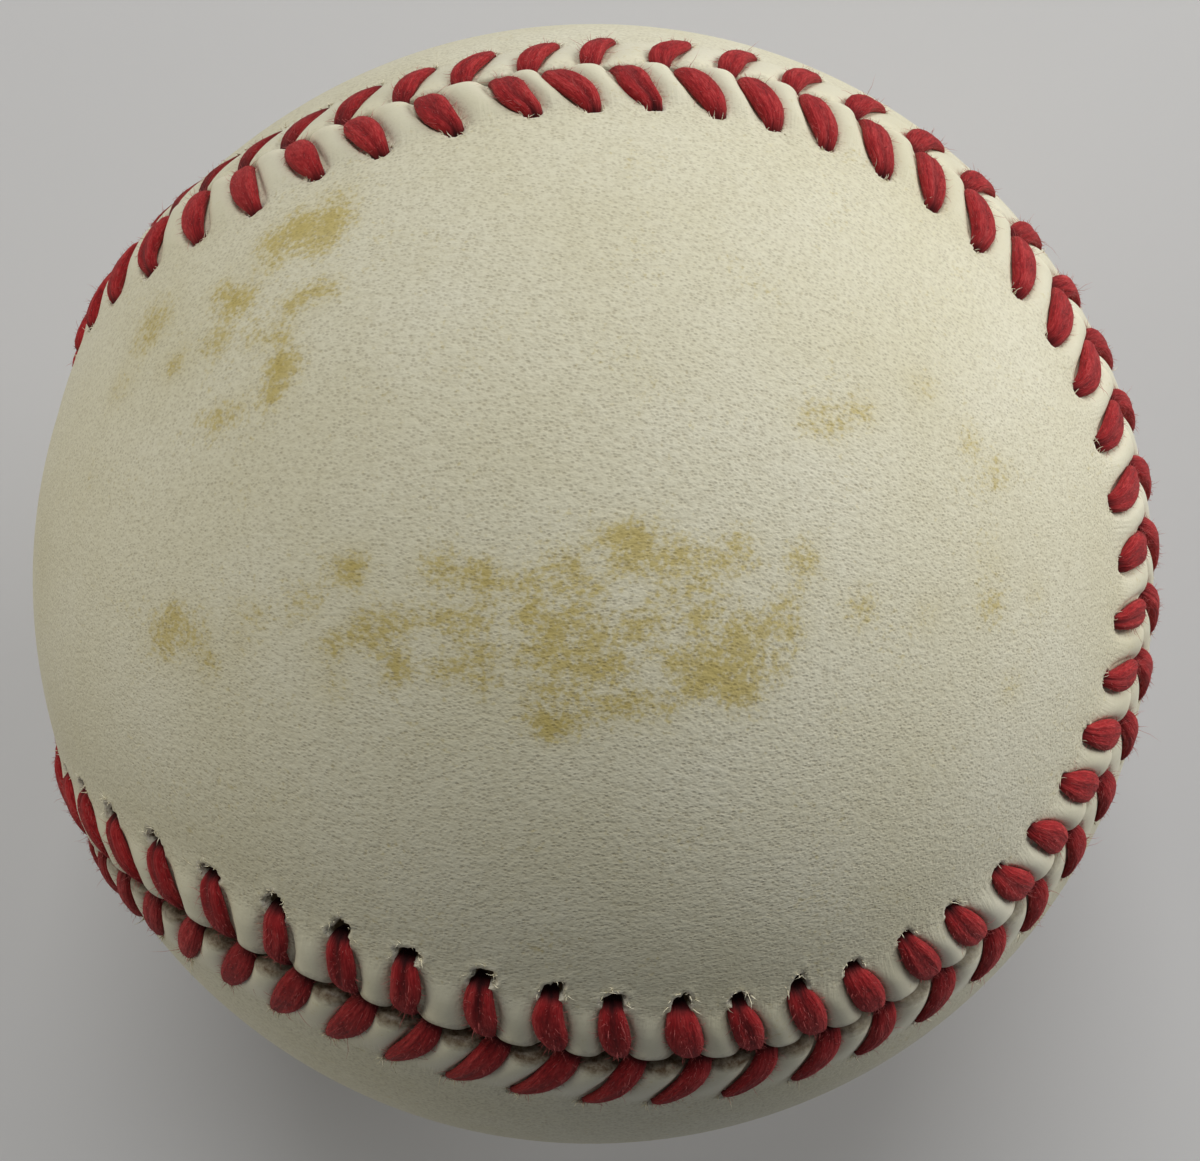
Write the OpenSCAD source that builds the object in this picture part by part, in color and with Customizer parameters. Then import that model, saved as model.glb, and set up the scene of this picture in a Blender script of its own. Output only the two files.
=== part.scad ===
/* [Pill] */
// Diameter of the cork composition core
core_d = 20.6; // [16:0.1:24]
// Wall of the two black rubber half shells
inner_shell_t = 3.97; // [2:0.01:6]
// Wall of the red rubber shell over them
outer_shell_t = 2.38; // [1:0.01:4]
// Diameter of each round opening where the half shells meet
opening_d = 4; // [2:0.1:6]

/* [Windings] */
// Thickness of the first winding, four-ply grey wool
first_t = 14.66; // [10:0.01:18]
// Thickness of the second winding, three-ply white wool
second_t = 1.77; // [1:0.01:3]
// Thickness of the third winding, three-ply grey wool
third_t = 2.27; // [1:0.01:4]
// Thickness of the finishing winding of fine white yarn
finish_t = 0.51; // [0.45:0.01:1.2]

/* [Cover] */
// Thickness of the leather
leather_t = 1.27; // [1:0.01:1.8]
// Gap between the edges of the two panels, where the threads go down
seam_gap = 1; // [0.9:0.05:1.6]
// Depth that the threads press into the flesh side of the leather along the seam
flesh_relief = 0.3; // [0.2:0.01:0.4]
// Height of the leather pillows that swell up between the stitches
pillow_h = 0.6; // [0.3:0.05:0.9]

/* [Stitches] */
// Number of stitches along each edge, an even number
stitches = 108; // [80:2:108]
// Distance of the stitch holes from the middle of the seam
hole_offset = 5.1; // [4:0.1:7]
// Diameter of a stitch hole
hole_d = 1.8; // [1.7:0.05:2.2]
// Width of a stitch at the middle of its length
stitch_w = 2; // [1.2:0.05:2.2]
// Thickness of a stitch above the leather
stitch_t = 0.8; // [0.4:0.05:0.85]
// Width of the thread where it goes down through the seam
neck_w = 0.8; // [0.6:0.02:0.84]
// Width of the thread where it comes up through a hole
throat_w = 1.4; // [0.8:0.05:1.4]
// Thickness of the thread where it is pressed flat under the leather
hidden_t = 0.35; // [0.25:0.01:0.4]

/* [Hidden] */
$fn = 96;

// Clearance between one layer and the next
layer_gap = 0.04;
// Clearance of the thread from the leather and from its bed
thread_gap = 0.05;
// How far the rounded pillows stay clear of the inner face and the cut edge of the leather
pillow_inset = 0.06;
// How far the bed of the threads reaches past the hole row
bed_margin = 0.4;
// How far the full leather reaches into the thinner leather over the bed
leather_overlap = 0.3;
// How far a cut runs past the face that it opens
overrun = 1;

// Outer radius of each layer
core_r = core_d / 2;
inner_shell_r = core_r + inner_shell_t;
outer_shell_r = inner_shell_r + outer_shell_t;
first_r = outer_shell_r + first_t;
second_r = first_r + second_t;
third_r = second_r + third_t;
finish_r = third_r + finish_t;
cover_r = finish_r + leather_t;

// Levels that the thread runs at: above the leather, and pressed flat under it
stitch_r = cover_r + thread_gap + stitch_t / 2;
hidden_r = finish_r + flesh_relief - thread_gap - hidden_t / 2;
crown_h = stitch_t / 8;

// Radius of a pillow, which lies almost wholly within the leather
pillow_r = (leather_t - flesh_relief + pillow_h) / 2 - pillow_inset;
pillow_axis_r = cover_r + pillow_h - pillow_r;

// Shape of the seam: how far it bends, how high it climbs and how square its corners are
bend_share = 0.493;
rise_share = 1.04;
corner_share = -0.014;
// Where each edge's holes and stitch tips stand along the seam, as shares of one stitch
hole_a_share = 0.36;
hole_b_share = 0.5;
tip_a_share = 0.81;
tip_b_share = 1.08;
// Where the widest ring of a stitch stands, between its tip and its hole
belly_share = 0.55;
// Outline of the thread across its run, as shares of half its width and half its thickness
section_shares = [[-1, 0], [-0.55, -1], [0.55, -1], [1, 0], [0.55, 1], [-0.55, 1]];

// Steps of the table that turns a distance along the seam into its angle, and of a cut edge
table_steps = 720;
edge_steps = 216;
bed_steps = 108;

function unit(v) = v / norm(v);

// Direction of the seam from the centre of the ball, for an angle of 0 to 360 degrees
function seam(u) = unit([
    corner_share * cos(6 * u) - rise_share * cos(2 * u),
    bend_share * cos(3 * u) - cos(u),
    bend_share * sin(3 * u) + sin(u)]);

// Direction in which the seam runs
function seam_run(u) = unit(seam(u + 360 / table_steps) - seam(u - 360 / table_steps));

// Point at radius r, a distance w beside the seam, towards panel a where w is positive
function beside(u, w, r) =
    let (p = seam(u), side = cross(p, seam_run(u)), turn = w / cover_r * 180 / PI)
    r * (p * cos(turn) + side * sin(turn));

// Length along the seam on a ball of radius 1, up to each step of the table
seam_lengths = [for (i = 0, len = 0; i <= table_steps;
    len = len + norm(seam((i + 1) * 360 / table_steps) - seam(i * 360 / table_steps)), i = i + 1) len];
seam_table = [for (i = [0 : table_steps]) [seam_lengths[i] / seam_lengths[table_steps], i * 360 / table_steps]];

// Length of one stitch along the seam, and how far a straight hidden run sinks below its two ends
pitch = seam_lengths[table_steps] * cover_r / stitches;
hidden_sag = (hole_offset * hole_offset + pitch * pitch) / (8 * finish_r);
// The bed that holds the hidden runs: its floor in the finishing winding and its half width
bed_r = hidden_r - hidden_t / 2 - hidden_sag - thread_gap;
bed_w = hole_offset + hole_d / 2 + bed_margin;

// Seam angle of a place counted in stitches
function seam_angle(place) =
    let (turns = floor(place / stitches))
    360 * turns + lookup(place / stitches - turns, seam_table);

function hole_place(i, side) = i + (side > 0 ? hole_a_share : hole_b_share);
function tip_place(i, side) = i + (side > 0 ? tip_a_share : tip_b_share);

// Solid angle from the centre out past the cover that holds one panel, inset from the seam.
// Side 1 is panel a, whose edge mirrors itself about the 90 degree place, and side -1 is panel b.
module panel_cone(side, inset, steps) {
    far_r = 2 * cover_r;
    start = side > 0 ? 90 : 0;
    half = steps / 2;
    rim = [for (k = [0 : steps - 1]) beside(start + k * 360 / steps, side * inset, far_r)];
    fan = [for (k = [0 : steps - 1]) [steps, k, (k + 1) % steps]];
    lid = [for (k = [1 : half - 1]) each [
        [k, (steps - k + 1) % steps, steps - k],
        [k, k - 1, (steps - k + 1) % steps]]];
    tip = [[half, half - 1, half + 1]];
    faces = concat(fan, lid, tip);
    polyhedron(concat(rim, [[0, 0, 0]]), side > 0 ? faces : [for (f = faces) [f[2], f[1], f[0]]]);
}

module layer(inner_r, outer_r) {
    difference() {
        sphere(outer_r);
        sphere(inner_r);
    }
}

// Stands a body of revolution along the line from point a towards point b
module along(a, b) {
    v = b - a;
    translate(a) rotate([0, acos(v.z / norm(v)), atan2(v.y, v.x)]) children();
}

module cork_core() {
    color("burlywood") sphere(core_r);
}

module opening_bore(side, d) {
    rotate([0, side * 90, 0]) cylinder(h = inner_shell_r + overrun, d = d);
}

// One black half shell, with half of each round opening in its rim
module inner_half(up) {
    difference() {
        layer(core_r + layer_gap, inner_shell_r);
        translate([0, 0, up * (layer_gap / 2 - outer_shell_r)]) cube(2 * outer_shell_r, center = true);
        opening_bore(1, opening_d);
        opening_bore(-1, opening_d);
    }
}

module inner_shell_top() {
    color("#2b2a29") inner_half(1);
}

module inner_shell_bottom() {
    color("#2b2a29") inner_half(-1);
}

// Red rubber plug that seals one opening between the half shells
module gasket(side) {
    intersection() {
        layer(core_r + layer_gap, inner_shell_r);
        opening_bore(side, opening_d - 2 * layer_gap);
    }
}

module gasket_left() {
    color("#a5352c") gasket(-1);
}

module gasket_right() {
    color("#a5352c") gasket(1);
}

module outer_shell() {
    color("#a5352c") layer(inner_shell_r + layer_gap, outer_shell_r);
}

module first_winding() {
    color("#8d8b87") layer(outer_shell_r + layer_gap, first_r);
}

module second_winding() {
    color("#e6e2d8") layer(first_r + layer_gap, second_r);
}

module third_winding() {
    color("#8d8b87") layer(second_r + layer_gap, third_r);
}

// Fine white yarn, with the bed that the threads press into it along the seam
module finish_winding() {
    color("#efece4") difference() {
        union() {
            sphere(bed_r);
            for (side = [1, -1]) intersection() {
                sphere(finish_r);
                panel_cone(side, bed_w, bed_steps);
            }
        }
        sphere(third_r + layer_gap);
    }
}

module stitch_hole(i, side) {
    p = beside(seam_angle(hole_place(i, side)), side * hole_offset, 1);
    along(p * (finish_r - overrun), p * cover_r) cylinder(h = leather_t + 2 * overrun, d = hole_d);
}

// Half outline of a pillow: a straight bar with a round end
module pillow_outline(length) {
    square([pillow_r, length]);
    for (y = [0, length]) translate([0, y]) intersection() {
        circle(pillow_r);
        translate([0, -pillow_r]) square([pillow_r, 2 * pillow_r]);
    }
}

// Leather that swells up between stitch i and the next, from the hole row to the lip of the seam
module pillow(i, side) {
    lip = seam_gap / 2 + pillow_inset + pillow_r;
    root = hole_offset - pillow_r;
    span = tip_place(i, side) - hole_place(i, side);
    function spot(w) = beside(seam_angle(tip_place(i, side) + 0.5 - span * w / hole_offset),
        side * w, pillow_axis_r);
    along(spot(lip), spot(root)) rotate_extrude() pillow_outline(norm(spot(root) - spot(lip)));
}

// The part of a layer that one panel covers, with the poles of the layer off the panel
module panel_layer(side, inset, steps, inner_r, outer_r) {
    intersection() {
        rotate(side > 0 ? [90, 0, 0] : [0, 0, 180]) layer(inner_r, outer_r);
        panel_cone(side, inset, steps);
    }
}

// One figure-eight piece of leather, thinner over the bed, with its hole row and its raised edge
module cover_panel(side) {
    difference() {
        union() {
            panel_layer(side, seam_gap / 2, edge_steps, finish_r + flesh_relief, cover_r);
            panel_layer(side, bed_w, bed_steps, finish_r + layer_gap,
                finish_r + flesh_relief + leather_overlap);
            for (i = [0 : stitches - 1]) pillow(i, side);
        }
        for (i = [0 : stitches - 1]) stitch_hole(i, side);
    }
}

module cover_panel_a() {
    color("#e9e2cd") cover_panel(1);
}

module cover_panel_b() {
    color("#e9e2cd") cover_panel(-1);
}

// Rings of the thread at stitch i, from below its hole up, over the leather and down the seam.
// Each ring is its place along the seam, distance beside it, radius, width and thickness.
function stitch_rings(i, side) =
    let (hole = hole_place(i, side), tip = tip_place(i, side), belly = tip + belly_share * (hole - tip))
    [
        [hole, side * hole_offset, hidden_r, throat_w, hidden_t],
        [hole, side * hole_offset, stitch_r, throat_w, stitch_t],
        [belly, side * hole_offset * belly_share, stitch_r + crown_h, stitch_w, stitch_t],
        [tip, 0, stitch_r, neck_w, stitch_t],
        [tip, 0, hidden_r, neck_w, hidden_t]
    ];

// One of the two threads, an unbroken run that crosses to the other panel at each stitch
module thread(first_side) {
    rings = [for (i = [0 : stitches - 1]) each stitch_rings(i, i % 2 == 0 ? first_side : -first_side)];
    count = len(rings);
    sides = len(section_shares);
    centres = [for (r = rings) beside(seam_angle(r[0]), r[1], r[2])];
    points = [for (k = [0 : count - 1])
        let (
            here = centres[k],
            before = unit(here - centres[(k + count - 1) % count]),
            after = unit(centres[(k + 1) % count] - here),
            run = unit(before + after),
            seam_way = seam_run(seam_angle(rings[k][0])),
            across = unit(seam_way - run * (seam_way * run)),
            up = cross(run, across)
        )
        for (q = section_shares)
            here + across * q.x * rings[k][3] / 2 + up * q.y * rings[k][4] / 2 / (before * run)];
    faces = [for (k = [0 : count - 1], q = [0 : sides - 1])
        let (
            next_ring = (k + 1) % count * sides,
            next_side = (q + 1) % sides
        )
        each [
            [k * sides + q, next_ring + next_side, k * sides + next_side],
            [k * sides + q, next_ring + q, next_ring + next_side]]];
    polyhedron(points, faces);
}

module thread_a() {
    color("#a3262b") thread(1);
}

module thread_b() {
    color("#a3262b") thread(-1);
}

cork_core();
inner_shell_top();
inner_shell_bottom();
gasket_left();
gasket_right();
outer_shell();
first_winding();
second_winding();
third_winding();
finish_winding();
cover_panel_a();
cover_panel_b();
thread_a();
thread_b();
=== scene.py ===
import bpy
import numpy as np
from mathutils import Matrix


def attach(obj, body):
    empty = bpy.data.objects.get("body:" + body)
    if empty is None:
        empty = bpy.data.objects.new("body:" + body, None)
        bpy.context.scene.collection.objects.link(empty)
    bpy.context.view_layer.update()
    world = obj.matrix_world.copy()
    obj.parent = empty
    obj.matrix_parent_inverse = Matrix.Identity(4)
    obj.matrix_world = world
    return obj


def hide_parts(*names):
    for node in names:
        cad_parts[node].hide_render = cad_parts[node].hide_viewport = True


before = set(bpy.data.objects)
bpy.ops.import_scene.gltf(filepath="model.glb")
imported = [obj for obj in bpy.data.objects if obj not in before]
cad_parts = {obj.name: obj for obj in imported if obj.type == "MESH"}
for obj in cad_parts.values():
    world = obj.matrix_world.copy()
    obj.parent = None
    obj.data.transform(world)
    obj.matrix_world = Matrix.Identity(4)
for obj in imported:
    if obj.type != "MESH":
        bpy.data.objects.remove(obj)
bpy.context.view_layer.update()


# The core of the pill is a ball of cork composition: ground cork bound with a little rubber.
# It is moulded to size, so the granules show as pale and dark flecks in a close, even face.

def linear(hex_colour):
    """Linear RGBA of an sRGB hex colour: v / 12.92 up to 0.04045, above it ((v + 0.055) / 1.055) ** 2.4."""
    parts = [int(hex_colour[k:k + 2], 16) / 255 for k in (1, 3, 5)]
    return [v / 12.92 if v <= 0.04045 else ((v + 0.055) / 1.055) ** 2.4 for v in parts] + [1.0]


def wire(node, inputs):
    """Links each input of a node to the socket it is given, or sets it to the value it is given."""
    for key, value in inputs.items():
        if isinstance(value, bpy.types.NodeSocket):
            node.id_data.links.new(value, node.inputs[key])
        else:
            node.inputs[key].default_value = value


def add(tree, kind, inputs, out=0, stops=(), **settings):
    """Adds one shader node with its settings and inputs, and a colour ramp's (position, hex colour) stops.
    Returns the output that goes on from it."""
    node = tree.nodes.new("ShaderNode" + kind)
    for name, value in settings.items():
        setattr(node, name, value)
    wire(node, inputs)
    if stops:
        elements = node.color_ramp.elements
        while len(elements) < len(stops):
            elements.new(0.5)
        for element, (position, colour) in zip(elements, stops):
            element.position = position
            element.color = linear(colour)
    return node.outputs[out]


def new_finish(name):
    """A material with its node tree, its shader and Object coordinates counted in millimetres."""
    material = bpy.data.materials.new(name)
    material.use_nodes = True
    tree = material.node_tree
    place = add(tree, "TexCoord", {}, out="Object")
    mm = add(tree, "Mapping", {"Vector": place, "Scale": (1000, 1000, 1000)})
    return material, tree, tree.nodes["Principled BSDF"], mm


def dress(node_name, material):
    """Gives a CAD node its finish, in every slot it has."""
    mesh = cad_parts[node_name].data
    mesh.materials.clear()
    mesh.materials.append(material)


# Moulded cork composition: granules of about 1.2 mm, matt, with tiny open pores.
GRANULE_MM = 1.2
PORE_MM = 0.25
cork, tree, shader, mm = new_finish("cork_composition_moulded")
granules = add(tree, "TexVoronoi", {"Vector": mm, "Scale": 1 / GRANULE_MM}, out="Color")
shade = add(tree, "ValToRGB", {"Fac": granules},
            stops=[(0.15, "#8A5F38"), (0.5, "#C19A6B"), (0.85, "#D9B98C")])
pores = add(tree, "TexNoise", {"Vector": mm, "Scale": 1 / PORE_MM, "Detail": 3})
bump = add(tree, "Bump", {"Height": pores, "Distance": 0.00008, "Strength": 0.6})
wire(shader, {"Base Color": shade, "Normal": bump, "Roughness": 0.85})
dress("cork_core", cork)


# Two black rubber half shells close round the cork, with a round opening at each end of their rim.
# They are pressed from hard vulcanised rubber, so the face is matt with a faint moulding haze.

def rubber(name, dark, pale, roughness):
    """Vulcanised rubber: two close shades in soft 6 mm clouds, and a fine 0.15 mm moulded tooth."""
    material, tree, shader, mm = new_finish(name)
    clouds = add(tree, "TexNoise", {"Vector": mm, "Scale": 1 / 6, "Detail": 4})
    tooth = add(tree, "TexNoise", {"Vector": mm, "Scale": 1 / 0.15, "Detail": 2})
    shade = add(tree, "ValToRGB", {"Fac": clouds}, stops=[(0.35, dark), (0.65, pale)])
    bump = add(tree, "Bump", {"Height": tooth, "Distance": 0.00002, "Strength": 0.5})
    wire(shader, {"Base Color": shade, "Normal": bump, "Roughness": roughness})
    return material


black_rubber = rubber("black_rubber_moulded", "#242322", "#33312F", 0.55)
for name in ("inner_shell_top", "inner_shell_bottom"):
    dress(name, black_rubber)

# The two openings are sealed with round plugs of red rubber, and a shell of the same red rubber
# goes over the black halves. Red rubber is softer and duller, with a chalky bloom.
red_rubber = rubber("red_rubber_moulded", "#94291F", "#A83A2D", 0.7)
for name in ("gasket_left", "gasket_right", "outer_shell"):
    dress(name, red_rubber)


# Three windings of wool yarn go over the pill, each wound under tension in every direction:
# four-ply grey, three-ply white and three-ply grey again. They are hidden under the cover.

def wound_yarn(name, dark, pale, yarn_mm):
    """Wound yarn: wavering strands one yarn wide, dark between them, with a soft fibrous face."""
    material, tree, shader, mm = new_finish(name)
    strands = add(tree, "TexWave", {
        "Vector": mm, "Scale": 1 / (3.2 * yarn_mm), "Distortion": 2.5, "Detail": 2, "Detail Scale": 0.6},
        out="Fac", bands_direction="DIAGONAL")
    fibres = add(tree, "TexNoise", {"Vector": mm, "Scale": 6 / yarn_mm, "Detail": 3})
    shade = add(tree, "ValToRGB", {"Fac": strands}, stops=[(0.0, dark), (0.8, pale)])
    height = add(tree, "Math", {0: strands, 1: fibres}, operation="ADD")
    bump = add(tree, "Bump", {"Height": height, "Distance": yarn_mm / 4000})
    wire(shader, {"Base Color": shade, "Normal": bump, "Roughness": 0.95, "Sheen Weight": 0.3})
    return material


grey_wool = wound_yarn("grey_wool_wound", "#6E6C69", "#A09D98", 2.0)
white_wool = wound_yarn("white_wool_wound", "#C9C4B6", "#ECE8DD", 1.7)
dress("first_winding", grey_wool)
dress("second_winding", white_wool)
dress("third_winding", grey_wool)

# The last winding is fine white poly-cotton yarn, laid close to make a smooth round bed for the leather.
# A thin coat of cement holds it; here it has the same matt yarn finish as the wool, paler and finer.
finish_yarn = wound_yarn("poly_cotton_yarn_cemented", "#C6BFA9", "#EAE4D3", 0.7)
dress("finish_winding", finish_yarn)


# The cover is two figure-eight panels of alum-tawed cowhide, cut with a die and punched along the edge.
# The wet leather is stretched on and its edges drawn together by the thread, which makes it swell up
# between the stitches and roll down into the narrow valley of the seam.
STITCHES = 108
# Radii of the winding and of the leather's face, and distance of the hole rows from the seam, in mm.
FINISH_R = 35.86
COVER_R = 37.13
HOLE_W = 5.1
SEAM_BEND, SEAM_RISE, SEAM_CORNER = 0.493, 1.04, -0.014
# Side 1 is panel a and side -1 panel b. Where a stitch has its hole, and its tip in the seam's valley, in
# shares of a stitch along the seam.
HOLE_SHARE = {1: 0.36, -1: 0.5}
TIP_SHARE = {1: 0.81, -1: 1.08}


def unit(v):
    """Vectors of length 1."""
    return v / np.linalg.norm(v, axis=-1, keepdims=True)


def seam_direction(u):
    """Direction of the seam at angle u: a closed curve of first and third turns for y and z,
    and of second and sixth turns for x, pushed out to length 1."""
    return unit(np.stack([
        SEAM_CORNER * np.cos(6 * u) - SEAM_RISE * np.cos(2 * u),
        SEAM_BEND * np.cos(3 * u) - np.cos(u),
        SEAM_BEND * np.sin(3 * u) + np.sin(u)], -1))


# The seam's length on a ball of radius 1 gives the pitch of the stitches in mm and the place of each angle.
seam_u = np.linspace(0, 2 * np.pi, 8641)
seam_steps = np.linalg.norm(np.diff(seam_direction(seam_u), axis=0), axis=1)
seam_length = np.concatenate([[0], np.cumsum(seam_steps)])
PITCH = seam_length[-1] * COVER_R / STITCHES
seam_place = seam_length / seam_length[-1] * STITCHES


def smooth(low, high, x):
    """0 at low, 1 at high and a smooth S between, 3 t squared less 2 t cubed. Low may be the larger one."""
    t = np.clip((x - low) / (high - low), 0, 1)
    return t * t * (3 - 2 * t)


# Places along the seam, counted in stitches, and how far in mm panel a is drawn over it there.
DRAWN_OVER = ([12, 16, 20, 23, 26, 30, 34, 38, 44, 48, 52, 56, 62],
              [0, -0.1, -0.2, -0.1, 0.45, 0.8, 0.7, 0.65, 0.7, 1.2, 1.5, 1.2, 0])
# Along one stretch the sewn edges stand up a little, and panel b's stitches lie low, by this much in mm.
SEAM_LIFT = ([46, 50, 54, 58, 63], [0, 0.30, 0.55, 0.55, 0])
LOW_STITCHES = ([41, 44, 54, 60], [0, 0.28, 0.36, 0])
# How far beside the seam these two die out, in mm.
DRAWN_REACH, LIFT_REACH = 4, 9


def beside_seam(place, w, r):
    """Point at radius r, w mm beside the seam: the seam's direction at that place, counted in stitches,
    turned by w over the ball's radius towards panel a where w is positive. Panel a is drawn up to 1.5 mm
    over the seam and both edges stand up to 0.55 mm higher where the tables say, less and less beside it."""
    place, w, r = np.broadcast_arrays(place, w, r)
    along = np.mod(place, STITCHES)
    w = w - np.interp(along, *DRAWN_OVER) * np.exp(-(w / DRAWN_REACH) ** 2)
    r = r + np.interp(along, *SEAM_LIFT) * np.exp(-(w / LIFT_REACH) ** 4)
    u = np.interp(along, seam_place, seam_u)
    p = seam_direction(u)
    run = unit(seam_direction(u + 1e-3) - seam_direction(u - 1e-3))
    side = np.cross(p, run)
    turn = (w / COVER_R)[..., None]
    return r[..., None] * (p * np.cos(turn) + side * np.sin(turn))


# Each stitch differs a little from the next, because the ball is sewn by hand: where its hole and its tip lie
# along the seam, in shares of a stitch, how far out its hole is, in mm, and how full thread and pillow are.
rng = np.random.default_rng(108)
hand = {side: {
    "hole": rng.normal(0, 0.022, STITCHES),
    "tip": rng.normal(0, 0.025, STITCHES),
    "hole_w": rng.normal(0, 0.10, STITCHES),
    "width": rng.normal(1, 0.05, STITCHES),
    "pillow": rng.normal(1, 0.09, STITCHES),
} for side in (1, -1)}
every_stitch = np.arange(STITCHES)


def stretch_of_seam(middle, reach):
    """1 at one stretch's stitches and 0 away from it: e to the minus fourth power of distance over reach."""
    return np.exp(-((every_stitch - middle) / reach) ** 4)


# The hole row is pulled open along two stretches of the seam, where the sewer drew the thread hardest.
# Each hole has its own ragged outline, and each doubled strand its own groove and twist.
slack = 0.12 + 0.88 * stretch_of_seam(12, 8.5) + 0.7 * stretch_of_seam(78, 12)
for side in (1, -1):
    hand[side]["open"] = np.clip(slack + rng.normal(0, 0.10, STITCHES), 0, 1.1)
    hand[side]["ragged"] = rng.uniform(0, 2 * np.pi, (STITCHES, 4))
    hand[side]["split"] = rng.uniform(0.10, 0.75, STITCHES)
    hand[side]["twist"] = rng.normal(0, 0.022, STITCHES)

# The holes and tips of both panels wander along the seam, by 0.37 of a stitch at most, and the holes in and
# out, by 0.9 mm at most.
# Each table has (stitch, shift) pairs, with straight runs between.
WANDER = {
    (1, "hole"): [
        (2, 0), (5, 0.02), (6, 0.06), (7, 0.14), (8, 0.2), (10, 0.28), (11, 0.19), (12, 0.27), (13, 0.21),
        (14, 0.06), (15, 0.1), (18, 0), (22, -0.06), (24, -0.13), (25, -0.12), (27, -0.12), (28, -0.09),
        (30, 0.02), (32, 0), (34, 0.13), (36, 0.21), (38, 0.09), (40, -0.03), (41, -0.25), (42, -0.1),
        (43, -0.02), (45, -0.1), (47, 0), (53, 0)],
    (1, "hole_w"): [
        (1, 0), (3, -0.3), (9, -0.32), (11, -0.32), (12, -0.22), (14, -0.12), (17, 0.1), (19, 0.2),
        (21, -0.1), (24, -0.45), (27, -0.8), (28, -0.15), (29, -0.05), (30, 0.3), (33, 0.5), (34, 0.3),
        (35, 0.1), (36, -0.15), (38, -0.5), (41, -0.82), (44, -0.88), (46, -0.35), (50, 0.05)],
    (1, "tip"): [
        (2, 0), (4, -0.14), (7, -0.16), (8, -0.14), (9, -0.2), (10, -0.02), (11, -0.12), (12, -0.03),
        (13, -0.03), (14, -0.08), (15, -0.04), (17, -0.06), (20, -0.1), (22, -0.11), (24, -0.18),
        (25, -0.12), (27, -0.06), (34, 0), (38, -0.04), (40, -0.06), (41, -0.2), (42, -0.08), (44, 0),
        (47, 0.1), (50, 0.2), (54, 0.2), (58, 0)],
    (-1, "hole"): [
        (1, 0), (2, -0.05), (4, -0.36), (7, -0.37), (8, -0.31), (9, -0.19), (11, -0.01), (17, 0.08),
        (20, 0.1), (22, 0.08), (24, 0.01), (27, -0.13), (32, -0.15), (36, 0), (38, 0.02), (39, 0.18),
        (40, 0.04), (42, 0.08), (46, 0)],
    (-1, "hole_w"): [
        (2, 0), (3, -0.3), (7, -0.3), (8, -0.02), (9, 0.2), (10, 0.34), (11, 0.3), (12, 0.2), (14, 0),
        (36, 0), (40, -0.35), (43, -0.4), (46, -0.8), (54, -0.9), (58, 0)],
    (-1, "tip"): [
        (2, 0), (4, -0.12), (7, -0.1), (8, -0.06), (9, -0.01), (12, 0.01), (16, -0.07), (18, -0.13),
        (26, -0.15), (32, -0.14), (36, 0), (38, 0), (39, 0.15), (40, 0)]}
for (side, what), pairs in WANDER.items():
    hand[side][what] += np.interp(every_stitch, *np.transpose(pairs))
# How wide the thread lies along the seam, as a share of its usual width.
BREADTH = {
    1: [(1, 1), (3, 0.86), (9, 0.88), (10, 1), (23, 1), (25, 0.92), (27, 1), (46, 1), (50, 0.68), (56, 0.68),
        (59, 1)],
    -1: [(6, 1), (9, 1.22), (12, 1.2), (13, 1.08), (16, 1)]}
for side, pairs in BREADTH.items():
    hand[side]["width"] *= np.interp(every_stitch, *np.transpose(pairs))


def along_hand(side, what, place_in_stitches):
    """A stitch's own small difference, blended smoothly into the next stitch's."""
    values = hand[side][what]
    low = np.floor(place_in_stitches).astype(int)
    t = smooth(0, 1, place_in_stitches - low)
    return values[low % STITCHES] * (1 - t) + values[(low + 1) % STITCHES] * t


# Columns of the leather's grid within one stitch, closest where the leather creases beside the thread.
CREASE_COLUMNS = np.array([0, 0.055, 0.11, 0.16, 0.205, 0.24, 0.275, 0.32, 0.375, 0.435])
COLUMNS = np.concatenate([CREASE_COLUMNS, [0.5], 1 - CREASE_COLUMNS[:0:-1]])
PER_STITCH = len(COLUMNS)
# Rows across the edge: distance from the lip, and drop below the top face as the leather rolls down.
LIP_ROWS = np.array([[0.10, 1.05], [0.0, 0.70], [0.0, 0.40], [0.015, 0.22], [0.05, 0.11], [0.11, 0.045],
                     [0.20, 0.01]])
TOP_ROWS = np.array([0.32, 0.5, 0.75, 1.05, 1.4, 1.8, 2.3, 2.85, 3.4, 3.82, 4.12, 4.36, 4.56, 4.74, 4.92,
                     5.1, 5.28, 5.46, 5.64, 5.84, 6.1, 6.5, 7.2, 8.1, 9.0])
RIM_W = 9.0
# The lip's distance from the seam line in mm: between tight stitches, what the thread pulls it back by, and
# what a pulled stitch adds.
LIP_TIGHT, LIP_STITCH = 0.08, 0.32
LIP_PULLED = {1: 0.09, -1: 0.34}
# Half width of the thread's channel, as a share of one stitch, at six distances from the seam in mm.
CHANNEL_W = [0, 1.2, 2.6, 4.0, 5.0, 5.8]
CHANNEL_HALF = {1: [0.17, 0.225, 0.25, 0.235, 0.19, 0.15], -1: [0.17, 0.205, 0.205, 0.16, 0.11, 0.085]}
# How far a stitch bows along the seam, as a share of the pitch.
BOW_SHARE = {1: 0.035, -1: 0.085}
# The pillow's height in mm, the share of it that is gone at the hole row, and the power of its steep rise.
PILLOW_HEIGHT, PILLOW_SINK, PILLOW_POWER = 0.52, 0.86, 2.6
# The share of that height at a tight stitch, and the pillow's run in mm from the seam: its start at a tight
# stitch, how much later that is at a pulled one, where it is full and where it begins to sink.
TIGHT_PILLOW = {1: 1, -1: 0.45}
PILLOW_RUN = {1: (-1.2, 0.6, 1.0, 2.9), -1: (-0.60, 0.45, 1.05, 1.5)}
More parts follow.
